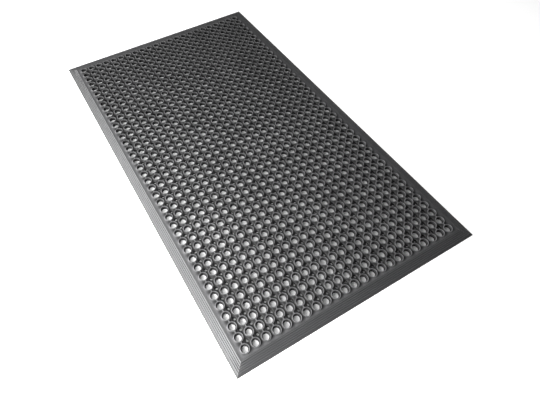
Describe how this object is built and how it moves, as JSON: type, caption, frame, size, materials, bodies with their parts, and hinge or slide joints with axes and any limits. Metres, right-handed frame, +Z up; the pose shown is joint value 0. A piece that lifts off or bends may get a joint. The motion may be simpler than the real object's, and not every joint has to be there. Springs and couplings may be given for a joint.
{
  "type": "anti fatigue mat",
  "caption": "Rectangular black rubber standing mat with a field of round drainage holes in raised rings and a bevelled, ribbed ramp along each side.",
  "frame": {"origin": "middle of the mat's footprint, on the floor", "axes": "+Z up, +Y along the long sides from the front ramp to the back ramp, +X across the mat to the right ramp"},
  "size_m": [0.9, 1.5, 0.013],
  "materials": {
    "deck_rubber": "moulded black rubber, low satin sheen, lightly dusted",
    "ramp_rubber": "moulded black rubber, low satin sheen, fine tread lines"
  },
  "bodies": {
    "root": {"perforated_deck": "deck_rubber", "ramp_front": "ramp_rubber", "ramp_right": "ramp_rubber", "ramp_back": "ramp_rubber", "ramp_left": "ramp_rubber"}
  },
  "joints": []
}
